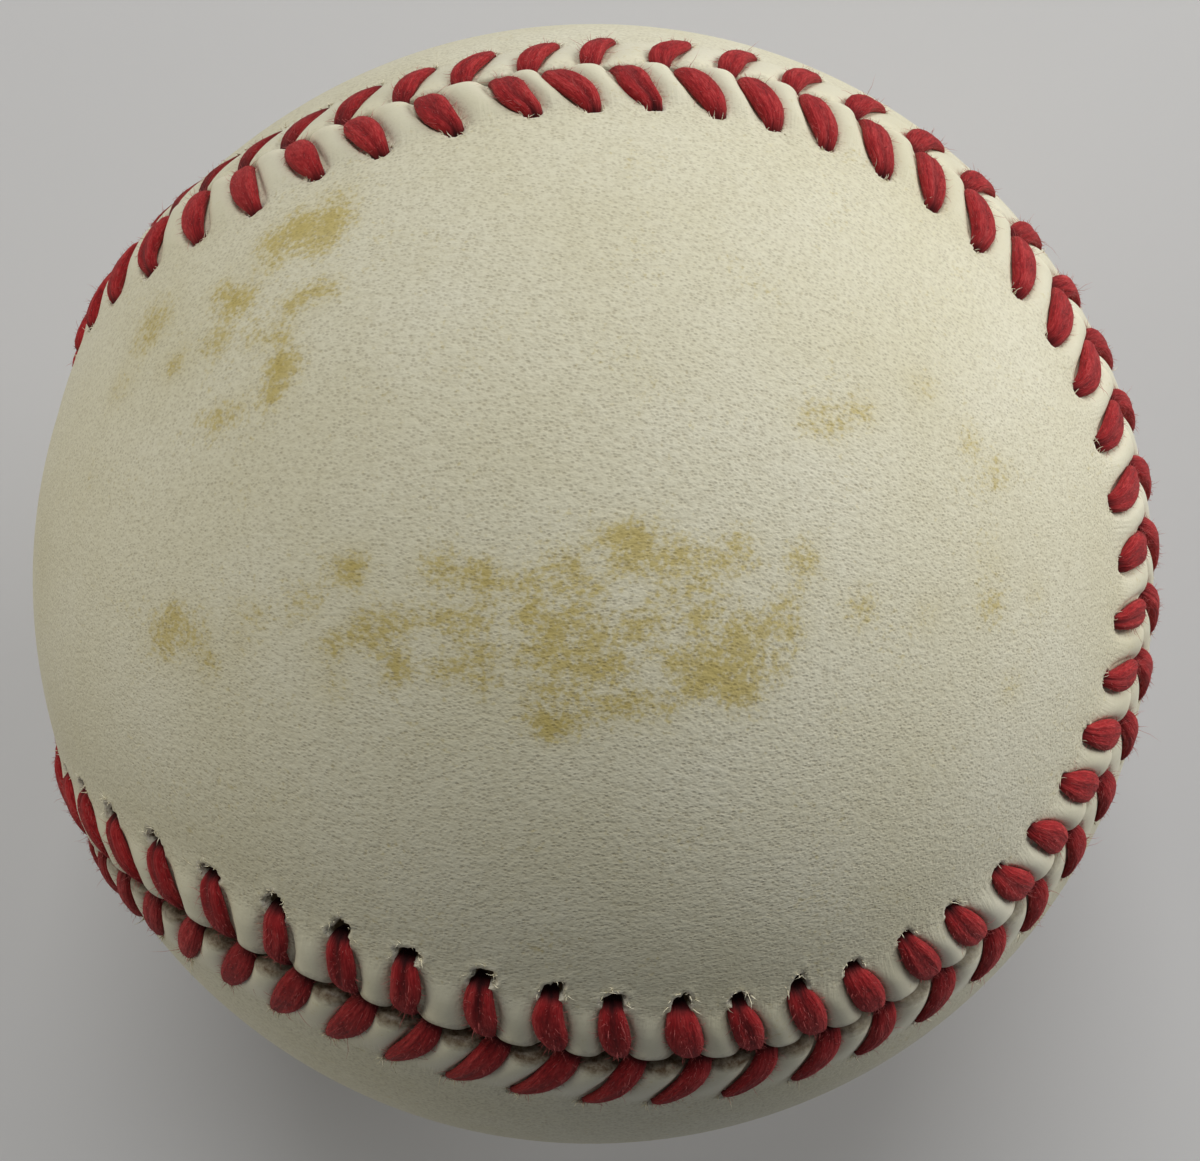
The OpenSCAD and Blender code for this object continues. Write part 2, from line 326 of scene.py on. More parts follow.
# Where each form dies out, in mm from the seam at a hole that is neither pulled nor out of line.
PILLOW_END, CHANNEL_END, CREASE_END = (5.5, 7.2), (4.8, 5.6), (4.4, 5.6)
SHINE_END, PLEAT_START, PLEAT_END = (3.9, 5.6), (3.2, 4.2), (5.2, 6.4)
# Depth in mm of the channel under the thread, of the crease beside it and of the pit at a hole.
CHANNEL_DEPTH, CREASE_DEPTH, PIT_DEPTH = 0.12, 0.07, 0.92
# Half width along the seam and half length across it of a tight hole, in mm.
HOLE_HALF = {1: (0.54, 0.42), -1: (0.33, 0.28)}
# What a pulled hole has more than a tight one, in mm: how much nearer to the seam its thread goes down, how
# much nearer its middle is, and how much longer and wider its half is.
PULL_BACK = {1: 0.98, -1: 0.10}
PULL_SHIFT = {1: 0.30, -1: 0.03}
PULL_LONG = {1: 0.42, -1: 0.05}
PULL_WIDE = {1: 0.08, -1: 0.04}
# The waves of a hole's ragged outline: turns round the hole, and size beside the first one.
HOLE_WAVES = ((2, 1), (3, 1), (5, 0.9), (8, 0.6))
# The distance, in half sizes of a hole, that counts as far from it.
FAR_FROM_HOLE = 3.0
# How dark the seam's valley is painted, as a share: painted shade together with dirt.
VALLEY_SHADE_AND_DIRT = {1: 0.6, -1: 1}

# Slow waves of the hide over the wool: the way each one runs and its phase.
hide_waves = [(unit(rng.normal(size=3)), rng.uniform(0, 6.28)) for k in range(5)]
HIDE_WAVE_MM, HIDE_WAVE_TURN = 0.012, 9


def undulation(p):
    """Height of the hide's slow waves in mm, within 0.06: a sum of five sines of nine times the direction's
    share along each wave's way."""
    q = unit(p)
    return sum(HIDE_WAVE_MM * np.sin(q @ way * HIDE_WAVE_TURN + phase) for way, phase in hide_waves)


def hole_at(side, drift, pulled):
    """A hole's distance from the seam, its half width along the seam and its half length across it, in mm."""
    half_x, half_w = HOLE_HALF[side]
    middle = HOLE_W + drift - 0.02 - PULL_SHIFT[side] * pulled
    return middle, half_x + PULL_WIDE[side] * pulled, half_w + PULL_LONG[side] * pulled


def leather_edge(side):
    """One panel's sewn edge. Columns lean with the stitches. The height is a pillow between two creases,
    steep beside them and flat on top, less the thread's channel and a ragged pit at each hole, and the lip
    rolls down into the seam. Returns places, distances, points, and masks of wear and of painted shade
    and highlight, in rows across the edge."""
    count = (every_stitch[:, None] + COLUMNS).reshape(-1)
    whole = np.round(count)
    x = count - whole
    rows_w = np.concatenate([LIP_ROWS[:, 0], TOP_ROWS])[:, None]
    drop = np.concatenate([LIP_ROWS[:, 1], np.zeros(len(TOP_ROWS))])[:, None]
    is_lip = np.arange(len(rows_w))[:, None] < len(LIP_ROWS)
    lip = LIP_TIGHT + LIP_PULLED[side] * along_hand(side, "open", count)
    lip = lip + LIP_STITCH * np.exp(-(x / 0.19) ** 2)
    w = rows_w + lip * np.exp(-np.maximum(rows_w - 0.2, 0) / 1.2)
    # Towards the rim the columns become even and upright.
    spread = smooth(6.4, RIM_W, rows_w)
    even = np.arange(len(count)) / PER_STITCH
    column = count * (1 - spread) + even * spread
    pulled = along_hand(side, "open", column)
    drift = along_hand(side, "hole_w", column)
    # A pulled hole is long, and its thread goes down at the end nearer to the seam.
    v = w / (1 + (drift - PULL_BACK[side] * pulled) / HOLE_W)
    t = np.clip(v / HOLE_W, 0, 1)
    tip = TIP_SHARE[side] + along_hand(side, "tip", column)
    hole = HOLE_SHARE[side] + along_hand(side, "hole", column)
    lean = tip * (1 - t) + hole * t + BOW_SHARE[side] * np.sin(np.pi * t)
    place = column + lean * (1 - spread) + 0.5 * spread

    beside = np.abs(x)
    half = np.interp(v, CHANNEL_W, CHANNEL_HALF[side])
    rise = np.clip((beside - half) / (0.5 - half), 0, 1)
    start, later, full, sink = PILLOW_RUN[side]
    swell = along_hand(side, "pillow", column) * (TIGHT_PILLOW[side] + (1 - TIGHT_PILLOW[side]) * pulled)
    along = smooth(start + later * pulled, full, w) * (1 - smooth(*PILLOW_END, v))
    along = along * (1 - PILLOW_SINK * smooth(sink, 5.7, v))
    pillow = PILLOW_HEIGHT * swell * along * (1 - (1 - rise) ** PILLOW_POWER)
    channel = CHANNEL_DEPTH * np.exp(-(beside / (half * 0.95)) ** 4) * (1 - smooth(*CHANNEL_END, v))
    crease_run = smooth(0.2, 1, w) * (1 - smooth(*CREASE_END, v))
    crease = CREASE_DEPTH * np.exp(-((beside - half) / 0.03) ** 2) * crease_run

    hole_w, hole_half_x, hole_half_w = hole_at(side, drift, pulled)
    hx, hw = x * PITCH / hole_half_x, (w - hole_w) / hole_half_w
    turn = np.arctan2(hw, hx)
    phases = hand[side]["ragged"][whole.astype(int) % STITCHES].T
    waves = sum(size * np.sin(turns * turn + phase) for (turns, size), phase in zip(HOLE_WAVES, phases))
    across = np.hypot(hx, hw) / (1 + (0.05 + 0.07 * pulled) * waves)
    pit = PIT_DEPTH * (1 - smooth(0.70, 1.0, across))
    rim = (0.03 + 0.03 * pulled) * np.exp(-((across - 1.22) / 0.24) ** 2) * (1 - smooth(0, 0.1, pit))
    height = np.maximum(pillow - channel - crease + rim - pit, -PIT_DEPTH)
    # The lip keeps less of the height the further it rolls down.
    height = np.where(is_lip, height * (1 - 0.6 * smooth(0, 0.6, drop)) - drop, height)
    points = beside_seam(place, side * w, COVER_R + height)
    points = points * (1 + undulation(points) / COVER_R * smooth(0.5, 4, w))[..., None]

    # Painted shade together with dirt: the seam's valley under the lip and the creases beside the thread are
    # darkened, more where the stitches are pulled open.
    down = np.where(is_lip, drop, -(rows_w - 0.2) * 0.5)
    beside_arm = np.exp(-((beside - half) / 0.035) ** 2) * smooth(0.1, 0.7, w) * (1 - smooth(4.6, 5.6, v))
    shade_and_dirt = np.clip(smooth(-0.60, 0.05, down) * VALLEY_SHADE_AND_DIRT[side] + 0.42 * beside_arm, 0, 1)
    masks = {
        "shade_and_dirt": shade_and_dirt * np.clip(0.12 + 0.95 * pulled, 0, 1),
        "tongue": smooth(0.05, 0.5, rise) * (1 - smooth(*SHINE_END, v)),
        # The raw cut edge is painted pale cream: partly its own raw colour, partly a painted highlight along
        # the rolled lip.
        "edge": (1 - smooth(0.65, 1.35, w)) * (0.3 if side > 0 else 0.10 + 0.85 * pulled),
        "pleat": smooth(*PLEAT_START, v) * (1 - smooth(*PLEAT_END, v)),
        "hole_reach": np.minimum(across, FAR_FROM_HOLE)}
    return place, w, points, masks


# Foxing and hand marks on the side of panel a that faces +Z: x, y and reach of each in mm, and its strength.
FRONT_STAINS = np.array([
    (-2, -2.3, 0.8, 0.75), (-3.5, -4.2, 0.5, 0.55), (-3, -5.3, 0.4, 0.5), (-2.3, -4.4, 0.6, 0.6),
    (-0.2, -2.6, 0.6, 0.55), (1, -2.6, 0.5, 0.6), (2.2, -1.6, 0.4, 0.65), (3.1, -2.7, 0.5, 0.6),
    (2.7, -3.8, 0.7, 0.6), (0.5, -3.9, 0.9, 0.72), (1.4, -4.8, 0.9, 0.7), (3.8, -5, 0.7, 0.6),
    (0.1, -5.8, 0.7, 0.62), (2, -6, 0.9, 0.72), (3.6, -6.3, 0.6, 0.6), (4.6, -6.2, 0.6, 0.68),
    (2, -7.4, 0.9, 0.6), (1.1, -7.4, 0.5, 0.6), (3, -8.2, 0.5, 0.6), (4.1, -8, 0.6, 0.6),
    (5.3, -7.9, 0.5, 0.65), (6.7, -7.9, 0.6, 0.55), (1.8, -9, 0.4, 0.85), (1, -8.6, 0.3, 0.6),
    (-1.5, -5.9, 0.6, 0.5), (-1.6, -7, 0.4, 0.5), (-3.7, -6.6, 0.5, 0.5), (-2.6, -6.4, 0.5, 0.45),
    (-1.4, -3.4, 0.5, 0.5), (4.4, -0.1, 0.3, 0.65), (5.5, -0.2, 0.5, 0.68), (5.1, -1.2, 0.6, 0.65),
    (6.3, -1.3, 0.6, 0.58), (7.6, -0.9, 0.6, 0.58), (6.9, -2.4, 0.5, 0.58), (8.4, -2, 0.5, 0.48),
    (10, -0.4, 0.4, 0.55), (9.5, -1.1, 0.4, 0.5), (10.4, -1.1, 0.4, 0.5), (5.4, -4.3, 0.5, 0.58),
    (6.6, -3.8, 0.5, 0.42), (8.4, -3.9, 0.6, 0.58), (9.3, -2.9, 1, 0.4), (10.3, -4.5, 0.9, 0.6),
    (11.8, -3.7, 0.6, 0.48), (12.6, -2.7, 0.7, 0.38), (7.7, -5.9, 0.7, 0.66), (8.2, -6.9, 0.7, 0.65),
    (9.4, -6.1, 1.1, 0.72), (10.3, -7, 0.8, 0.72), (10.7, -5.6, 0.7, 0.58), (6.6, -5.4, 0.4, 0.45),
    (13.3, -0.8, 0.5, 0.45), (12.3, -5.8, 0.7, 0.34), (-6.5, -4.5, 0.4, 0.72), (-5.9, -6.6, 0.4, 0.66),
    (-4.5, -4.2, 0.4, 0.46), (-7.1, -5.4, 0.4, 0.58), (-7.9, -4.9, 0.4, 0.6), (-9.3, -5.9, 0.6, 0.58),
    (-9.2, -7.6, 0.4, 0.4), (-10.7, -3.9, 0.4, 0.4), (-4.1, -1.9, 0.3, 0.5), (-8.4, -1.9, 0.4, 0.75),
    (-18.4, -4.6, 0.8, 0.62), (-19.1, -5.7, 1, 0.6), (-17, -5.6, 0.9, 0.54), (-16.4, -6.6, 0.5, 0.56),
    (-13.8, -4.3, 0.5, 0.42), (-14.2, -5.6, 0.7, 0.4), (-11.5, 17.7, 1, 0.52), (-11.6, 16.4, 1.1, 0.7),
    (-13.3, 16.2, 1.3, 0.72), (-14.7, 15.6, 1.1, 0.62), (-11.9, 15.2, 0.8, 0.6), (-14.7, 14.3, 0.8, 0.52),
    (-16.3, 12.2, 0.9, 0.8), (-17.5, 12.9, 0.6, 0.64), (-12.8, 11.6, 0.4, 0.5), (-11.3, 12.3, 0.4, 0.55),
    (-13.4, 9.8, 0.6, 0.6), (-14.4, 10, 0.4, 0.5), (-13, 8.2, 0.6, 0.82), (-13.3, 6.8, 0.4, 0.62),
    (-22.1, 11.8, 1.2, 0.48), (-22.5, 10.9, 0.9, 0.55), (-24, 8.2, 0.9, 0.42), (-20, 8.9, 0.5, 0.56),
    (-17.2, 10, 0.6, 0.46), (-16.5, 5.7, 0.4, 0.5), (-15.5, 6.1, 0.4, 0.4), (16, 6.8, 0.6, 0.44),
    (13.7, 6, 0.5, 0.48), (14.8, 6.2, 0.4, 0.38), (19, 8.6, 0.6, 0.4), (23.1, 4.5, 0.8, 0.34),
    (22.8, -0.1, 1, 0.3), (22.9, -2.2, 0.8, 0.4), (16.1, -2.8, 0.7, 0.42), (19.4, -3, 0.4, 0.34),
    (12.7, -4, 0.4, 0.48), (25.5, -1.4, 0.7, 0.28), (24.2, -6.5, 0.6, 0.32), (21.6, 6, 0.4, 0.34)])
# A few more on the other sides: x, y and z, reach and strength.
OTHER_STAINS = np.array([
    (-6, -22, -29.3, 3, 0.55), (12, 20, -28.9, 2.8, 0.6), (-20, -4, -31, 3.4, 0.55),
    (-34, 6, -13.5, 2.6, 0.6), (30, -18, -12.6, 2.8, 0.55)])
front_z = np.sqrt(COVER_R ** 2 - FRONT_STAINS[:, 0] ** 2 - FRONT_STAINS[:, 1] ** 2)
STAINS = np.concatenate([np.insert(FRONT_STAINS, 2, front_z, axis=1), OTHER_STAINS])
# The smallest spot's reach in mm, and how much wider than written every spot is.
SPOT_LEAST, SPOT_SPREAD = 0.75, 1.35


def stain_at(points):
    """How far each point lies in a stain: the strongest of the soft round spots that reach it, each of them
    e to the minus square of the distance over its reach."""
    found = np.zeros(points.shape[:-1])
    for x, y, z, reach, strength in STAINS:
        centre = COVER_R * unit(np.array([x, y, z]))
        wide = max(reach, SPOT_LEAST) * SPOT_SPREAD
        found = np.maximum(found, strength * np.exp(-(np.linalg.norm(points - centre, axis=-1) / wide) ** 2))
    return found


def put(blocks, block):
    """Adds a block of points to a piece's blocks, and returns their numbers in the same rows and columns."""
    first_id = sum(map(len, blocks))
    blocks.append(block.reshape(-1, 3))
    return first_id + np.arange(len(blocks[-1])).reshape(block.shape[:-1])


def step_faces(fine_ids, coarse_ids, ratio):
    """Many-sided faces that join a fine closed row to one with every ratio-th point."""
    n = len(coarse_ids)
    k = np.arange(n)
    fine = fine_ids[(k[:, None] * ratio + np.arange(ratio + 1)[None, :]) % len(fine_ids)]
    return np.concatenate([fine, np.stack([coarse_ids[(k + 1) % n], coarse_ids[k]], -1)], -1)


def field(rim_points, rim_ids, first, steps, blocks):
    """The face inside a closed rim that mirrors itself about the column first: arcs of great circles join
    each rim point with its mirror point. Returns four-sided faces, and three-sided ones for both ends."""
    n = len(rim_ids)
    half = n // 2
    k = np.arange(1, half)
    a, b = rim_points[(first + k) % n], rim_points[(first - k) % n]
    ra, rb = np.linalg.norm(a, axis=-1), np.linalg.norm(b, axis=-1)
    angle = np.arccos(np.clip(np.sum(a * b, -1) / ra / rb, -1, 1))[:, None]
    t = (np.arange(1, steps) / steps)[None, :]
    wa, wb = np.sin((1 - t) * angle) / np.sin(angle), np.sin(t * angle) / np.sin(angle)
    direction = (a / ra[:, None])[:, None, :] * wa[..., None] + (b / rb[:, None])[:, None, :] * wb[..., None]
    radius = ra[:, None] * (1 - t) + rb[:, None] * t
    ids = put(blocks, direction * radius[..., None])
    table = np.concatenate([rim_ids[(first + k) % n][:, None], ids, rim_ids[(first - k) % n][:, None]], 1)
    quads = np.stack([table[:-1, :-1], table[1:, :-1], table[1:, 1:], table[:-1, 1:]], -1).reshape(-1, 4)
    near_tip, far_tip = np.full(steps, rim_ids[first % n]), np.full(steps, rim_ids[(first + half) % n])
    fans = np.concatenate([np.stack([near_tip, table[0, :-1], table[0, 1:]], -1),
                           np.stack([table[-1, 1:], table[-1, :-1], far_tip], -1)])
    return quads, fans


def new_object(name, data):
    """An object at the origin with its data, in the scene."""
    piece = bpy.data.objects.new(name, data)
    bpy.context.scene.collection.objects.link(piece)
    return piece


def make_mesh(name, blocks, groups, material):
    """A smooth shaded mesh object from blocks of points in mm and groups of faces that point outwards."""
    mesh = bpy.data.meshes.new(name)
    faces = [face for group in groups for face in group.tolist()]
    mesh.from_pydata((np.concatenate(blocks) * 0.001).tolist(), [], faces)
    mesh.shade_smooth()
    mesh.materials.append(material)
    return new_object(name, mesh)


def paint(piece, layer_name, values):
    """Gives each point of a piece its own value, or its own colour where there are four numbers a point."""
    kind, part = ("FLOAT", "value") if values.ndim == 1 else ("FLOAT_COLOR", "color")
    layer = piece.data.attributes.new(layer_name, kind, "POINT")
    layer.data.foreach_set(part, values.astype(np.float32).reshape(-1))


def map_corners(piece, layer_name, uv):
    """Gives each corner of each face its two coordinates."""
    layer = piece.data.uv_layers.new(name=layer_name)
    layer.data.foreach_set("uv", uv.astype(np.float32).reshape(-1))


# Alum-tawed cowhide, dyed cream and rubbed: fine pebbles of about 0.3 mm with tiny pits that run across
# the hide, smooth and slightly glossy where it is stretched over the pillows, chalky and pale on the cut
# edge, and lighter still along the rolled lip as a painted highlight.
TONE_MM, BEND_MM, PEBBLE_MM, PIT_MM = 14, 22, 0.28, 0.15
GRAIN_LAY = {"Scale": (0.62, 1.0, 1.0), "Rotation": (0, 0, 0.10)}
leather, tree, shader, mm = new_finish("cowhide_tawed_cream")
wear_and_painted_light = add(tree, "Attribute", {}, out="Color", attribute_name="wear_and_painted_light")
shade_and_dirt, tongue, edge = add(tree, "SeparateColor", {0: wear_and_painted_light}).node.outputs[:3]
marks = add(tree, "Attribute", {}, out="Color", attribute_name="marks")
stain, pleat = add(tree, "SeparateColor", {0: marks}).node.outputs[:2]
clouds = add(tree, "TexNoise", {"Vector": mm, "Scale": 1 / TONE_MM, "Detail": 5, "Roughness": 0.6})
colour = add(tree, "ValToRGB", {"Fac": clouds},
             stops=[(0.3, "#D9D4B9"), (0.52, "#DFDBC4"), (0.75, "#E4E1CE")])
bent = add(tree, "TexNoise", {"Vector": mm, "Scale": 1 / BEND_MM, "Detail": 1}, out="Color")
warped = add(tree, "VectorMath", {0: bent, 1: (3.0, 3.0, 3.0), 2: mm}, operation="MULTIPLY_ADD")
lay = add(tree, "Mapping", {"Vector": warped, **GRAIN_LAY})
dots = add(tree, "TexVoronoi", {"Vector": lay, "Scale": 1 / PIT_MM}, out="Distance", feature="F1")
dot = add(tree, "MapRange", {"Value": dots, "From Min": 0.62, "From Max": 0.15},
          interpolation_type="SMOOTHSTEP")
deep = add(tree, "SeparateColor", {0: dots.node.outputs["Color"]})
deep = add(tree, "MapRange", {"Value": deep, "To Min": 0.25, "To Max": 1.0})
pit_mask = add(tree, "Math", {0: dot, 1: deep}, operation="MULTIPLY")
pebbles = add(tree, "TexNoise", {"Vector": lay, "Scale": 1 / PEBBLE_MM, "Detail": 2, "Roughness": 0.6})
bare = add(tree, "Math", {0: 1.0, 1: tongue}, operation="SUBTRACT", use_clamp=True)
grain_share = add(tree, "MapRange", {"Value": bare, "To Min": 0.15, "To Max": 1.0})
pit_here = add(tree, "Math", {0: pit_mask, 1: grain_share}, operation="MULTIPLY")
pit_tint = add(tree, "Math", {0: pit_here, 1: 0.40}, operation="MULTIPLY")
hollow = add(tree, "MapRange", {"Value": pebbles, "From Min": 0.58, "From Max": 0.34, "To Max": 0.18})
hollow = add(tree, "Math", {0: hollow, 1: grain_share}, operation="MULTIPLY")
for share, tint in ((pit_tint, "#8C7F66"), (hollow, "#A79C7C")):
    colour = add(tree, "Mix", {0: share, 6: colour, 7: linear(tint)}, out=2, data_type="RGBA")
# The stains: a soft yellow haze with browner specks of 0.3 mm that crowd together in drifts of 3.5 mm.
SPECK_MM, DRIFT_MM = 0.31, 3.5
speckle = add(tree, "TexNoise", {"Vector": warped, "Scale": 1 / SPECK_MM, "Detail": 3, "Roughness": 0.6})
drifts = add(tree, "TexNoise", {"Vector": warped, "Scale": 1 / DRIFT_MM, "Detail": 2})
cluster = add(tree, "Math", {0: drifts, 1: 0.45, 2: speckle}, operation="MULTIPLY_ADD")
crowd = add(tree, "Math", {0: stain, 1: 0.60, 2: cluster}, operation="MULTIPLY_ADD")
stained = add(tree, "MapRange", {"Value": crowd, "From Min": 0.86, "From Max": 1.08, "To Max": 0.60})
haze = add(tree, "Math", {0: stain, 1: 0.46, 2: stained}, operation="MULTIPLY_ADD", use_clamp=True)
colour = add(tree, "Mix", {0: haze, 6: colour, 7: linear("#DFCE86")}, out=2, data_type="RGBA",
             blend_type="MULTIPLY")
# The cut edge shows pale raw fibres, lighter still along the rolled lip as a painted highlight. The seam's
# valley and the creases beside the thread are painted mottled brown: painted shade together with grime.
MOTTLE_PER_MM, TEARS_PER_MM = 2.2, 3.2
fibre = add(tree, "TexNoise", {"Vector": mm, "Scale": 1 / 0.2, "Detail": 4})
raw = add(tree, "ValToRGB", {"Fac": fibre}, stops=[(0.3, "#EDE4C4"), (0.6, "#FAF4DE")])
colour = add(tree, "Mix", {0: edge, 6: colour, 7: raw}, out=2, data_type="RGBA")
mottled_shade_and_soil = add(tree, "TexNoise", {"Vector": mm, "Scale": MOTTLE_PER_MM, "Detail": 5, "Roughness": 0.75})
mottled_shade_and_soil = add(tree, "Math", {0: mottled_shade_and_soil, 1: 1.0, 2: shade_and_dirt}, operation="MULTIPLY_ADD")
shade_and_soil = add(tree, "MapRange", {"Value": mottled_shade_and_soil, "From Min": 0.66, "From Max": 1.60})
# The hole is painted dark brown inside, as painted shade, with a pale frayed ring where the punch left the
# fibres raw.
torn = add(tree, "TexNoise", {"Vector": mm, "Scale": TEARS_PER_MM, "Detail": 3, "Roughness": 0.7})
reach = add(tree, "Attribute", {}, out="Fac", attribute_name="hole_reach")
reach = add(tree, "Math", {0: torn, 1: 0.5, 2: reach}, operation="MULTIPLY_ADD")
ring = add(tree, "MapRange", {"Value": reach, "From Min": 1.58, "From Max": 1.32, "To Max": 0.6})
hole = add(tree, "MapRange", {"Value": reach, "From Min": 1.24, "From Max": 1.08})
# Mixed in here: mottled brown that is painted shade with grime, the ring's own pale raw colour, and the
# hole's dark inside, painted shade.
for share, tint in ((shade_and_soil, "#5B4630"), (ring, "#F1ECDD"), (hole, "#5E4C32")):
    colour = add(tree, "Mix", {0: share, 6: colour, 7: linear(tint)}, out=2, data_type="RGBA")
# Relief: pits and pebbles, weaker on the smooth tongues, and folds that run out from the holes.
ripple = add(tree, "Math", {0: pebbles, 1: 2.2}, operation="MULTIPLY")
relief = add(tree, "Math", {0: pit_mask, 1: -0.7, 2: ripple}, operation="MULTIPLY_ADD")
relief = add(tree, "Math", {0: relief, 1: grain_share}, operation="MULTIPLY")
seam_mm = add(tree, "UVMap", {}, uv_map="seam_mm")
fold_lay = add(tree, "Mapping", {"Vector": seam_mm, "Scale": (4.5, 0.5, 1.0)})
folds = add(tree, "TexNoise", {"Vector": fold_lay, "Scale": 1.0, "Detail": 2})
fold_here = add(tree, "Math", {0: folds, 1: pleat}, operation="MULTIPLY")
relief = add(tree, "Math", {0: fold_here, 1: 1.6, 2: relief}, operation="MULTIPLY_ADD")
bump = add(tree, "Bump", {"Height": relief, "Distance": 0.00003, "Strength": 0.8})
gloss = add(tree, "MapRange", {"Value": tongue, "To Min": 0.62, "To Max": 0.46})
wire(shader, {"Base Color": colour, "Normal": bump, "Roughness": gloss, "Specular IOR Level": 0.38})


def hairs(root, way, aside, length, radius, blocks):
    """Fine fibres, each a closed three-sided spike of two joints. Its middle line goes out along its way and
    bends aside with the square of the distance. Returns the four-sided faces and the three-sided ones."""
    s = np.array([0, 0.55, 1.0])
    thick = np.array([1.0, 0.7])
    middle = (root[:, None] + way[:, None] * (length[:, None] * s)[..., None]
              + aside[:, None] * (length[:, None] * 0.4 * s ** 2)[..., None])
    one = unit(np.cross(way, aside))
    two = np.cross(way, one)
    angle = np.arange(3) * 2 * np.pi / 3
    ring = one[:, None] * np.cos(angle)[None, :, None] + two[:, None] * np.sin(angle)[None, :, None]
    joints = middle[:, :2, None] + ring[:, None] * (radius[:, None] * thick)[:, :, None, None]
    ids = put(blocks, np.concatenate([joints.reshape(len(root), 6, 3), middle[:, 2:]], 1))
    quads = [[k, (k + 1) % 3, 3 + (k + 1) % 3, 3 + k] for k in range(3)]
    ends = [[3 + k, 3 + (k + 1) % 3, 6] for k in range(3)] + [[2, 1, 0]]
    return ids[:, quads].reshape(-1, 4), ids[:, ends].reshape(-1, 3)


def whiskers(side, blocks):
    """Ten raw fibres that stand round each hole of one panel, longer and thicker where it is pulled open."""
    own = hand[side]
    stitch = np.repeat(every_stitch, 10)
    n = len(stitch)
    pulled = own["open"][stitch]
    turn = rng.uniform(-0.35, np.pi + 0.35, n)
    hole_w, half_x, half_w = hole_at(side, own["hole_w"][stitch], pulled)
    out = rng.uniform(0.95, 1.25, n)
    place = stitch + HOLE_SHARE[side] + own["hole"][stitch] + half_x * out * np.cos(turn) / PITCH
    w = hole_w + half_w * out * np.sin(turn)
    root = beside_seam(place, side * w, COVER_R - 0.03)
    up = unit(root)
    along = unit(beside_seam(place + 0.02, side * w, COVER_R) - root)
    away = unit(beside_seam(place, side * (w + 0.1), COVER_R) - root)
    lean = rng.normal(0, 0.7, (n, 2))
    way = unit(up * rng.uniform(0.35, 1.0, n)[:, None] + along * (0.5 * np.cos(turn) + lean[:, 0])[:, None]
               + away * (0.4 * np.sin(turn) + lean[:, 1])[:, None])
    aside = unit(np.cross(way, rng.normal(size=(n, 3))))
    length = (0.23 + 0.19 * pulled) * rng.lognormal(0, 0.45, n)
    radius = 0.022 + 0.026 * rng.uniform(0, 1, n) * (0.4 + 0.6 * pulled)
    return hairs(root, way, aside, length, radius, blocks)


# The face inside the edge has every fifth column, and the flesh side every tenth.
RIM_STEP, UNDER_STEP = 5, 10
# Rows of the flesh side: distance from the seam and gap over the winding, in mm. It lies on the winding but
# for the gap near the seam, which the threads' hidden runs need.
UNDER_ROWS = [(0.7, 0.32), (6.2, 0.32), (6.8, 0.06)]
LAST_UNDER_ROW = (7.4, 0.06)


def cover_panel(name, side):
    """One whole panel: its sewn edge, the field inside it and the flesh side under both, closed all round."""
    place, w, points, masks = leather_edge(side)
    columns = w.shape[1]
    # The column on the panel's mirror line: a quarter way round the seam on panel a, its start on panel b.
    first = ((STITCHES // 4 if side > 0 else 0) * PER_STITCH - PER_STITCH // 2) % columns
    blocks = []
    top = put(blocks, points)
    rim = beside_seam(place[-1, ::RIM_STEP], side * (RIM_W + 0.45), COVER_R)
    rim = rim * (1 + undulation(rim)[..., None] / COVER_R)
    rim_ids = put(blocks, rim)
    quads, fans = field(rim, rim_ids, first // RIM_STEP, 76, blocks)
    near, far = top[:-1], top[1:]
    band = np.stack([near, np.roll(near, -1, 1), np.roll(far, -1, 1), far], -1).reshape(-1, 4)
    groups = [band, step_faces(top[-1], rim_ids, RIM_STEP), quads, fans]

    under = [beside_seam(place[0, ::UNDER_STEP], side * row_w, FINISH_R + gap) for row_w, gap in UNDER_ROWS]
    under.append(beside_seam(place[-1, ::UNDER_STEP], side * LAST_UNDER_ROW[0], FINISH_R + LAST_UNDER_ROW[1]))
    under_ids = put(blocks, np.stack(under))
    quads, fans = field(under[-1], under_ids[-1], round(first / UNDER_STEP), 14, blocks)
    near, far = under_ids[:-1], under_ids[1:]
    flesh = np.stack([near, far, np.roll(far, -1, 1), np.roll(near, -1, 1)], -1).reshape(-1, 4)
    groups += [step_faces(top[0], under_ids[0], UNDER_STEP)[:, ::-1], flesh, quads[:, ::-1], fans[:, ::-1]]
    if side < 0:
        groups = [group[:, ::-1] for group in groups]
    groups += whiskers(side, blocks)

    piece = make_mesh(name + "_leather", blocks, groups, leather)
    n, edge_n = sum(map(len, blocks)), top.size
    wear_and_painted_light, marks, seam_uv = np.zeros((n, 4)), np.zeros((n, 4)), np.zeros((n, 2))
    near_hole = np.full(n, FAR_FROM_HOLE)
    wear_and_painted_light[:edge_n, :3] = np.stack([masks["shade_and_dirt"], masks["tongue"], masks["edge"]], -1).reshape(-1, 3)
    wear_and_painted_light[-len(blocks[-1]):, 2] = 1
    marks[:, 0] = stain_at(np.concatenate(blocks))
    marks[:edge_n, 1] = masks["pleat"].reshape(-1)
    wear_and_painted_light[:, 3] = marks[:, 3] = 1
    near_hole[:edge_n] = masks["hole_reach"].reshape(-1)
    seam_uv[:edge_n] = np.stack([place * PITCH, w], -1).reshape(-1, 2)
    paint(piece, "hole_reach", near_hole)
    paint(piece, "wear_and_painted_light", wear_and_painted_light)
    paint(piece, "marks", marks)
    map_corners(piece, "seam_mm", seam_uv[np.concatenate([group.reshape(-1) for group in groups])])
    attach(piece, "root")
    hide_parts(name)


cover_panel("cover_panel_a", 1)
cover_panel("cover_panel_b", -1)


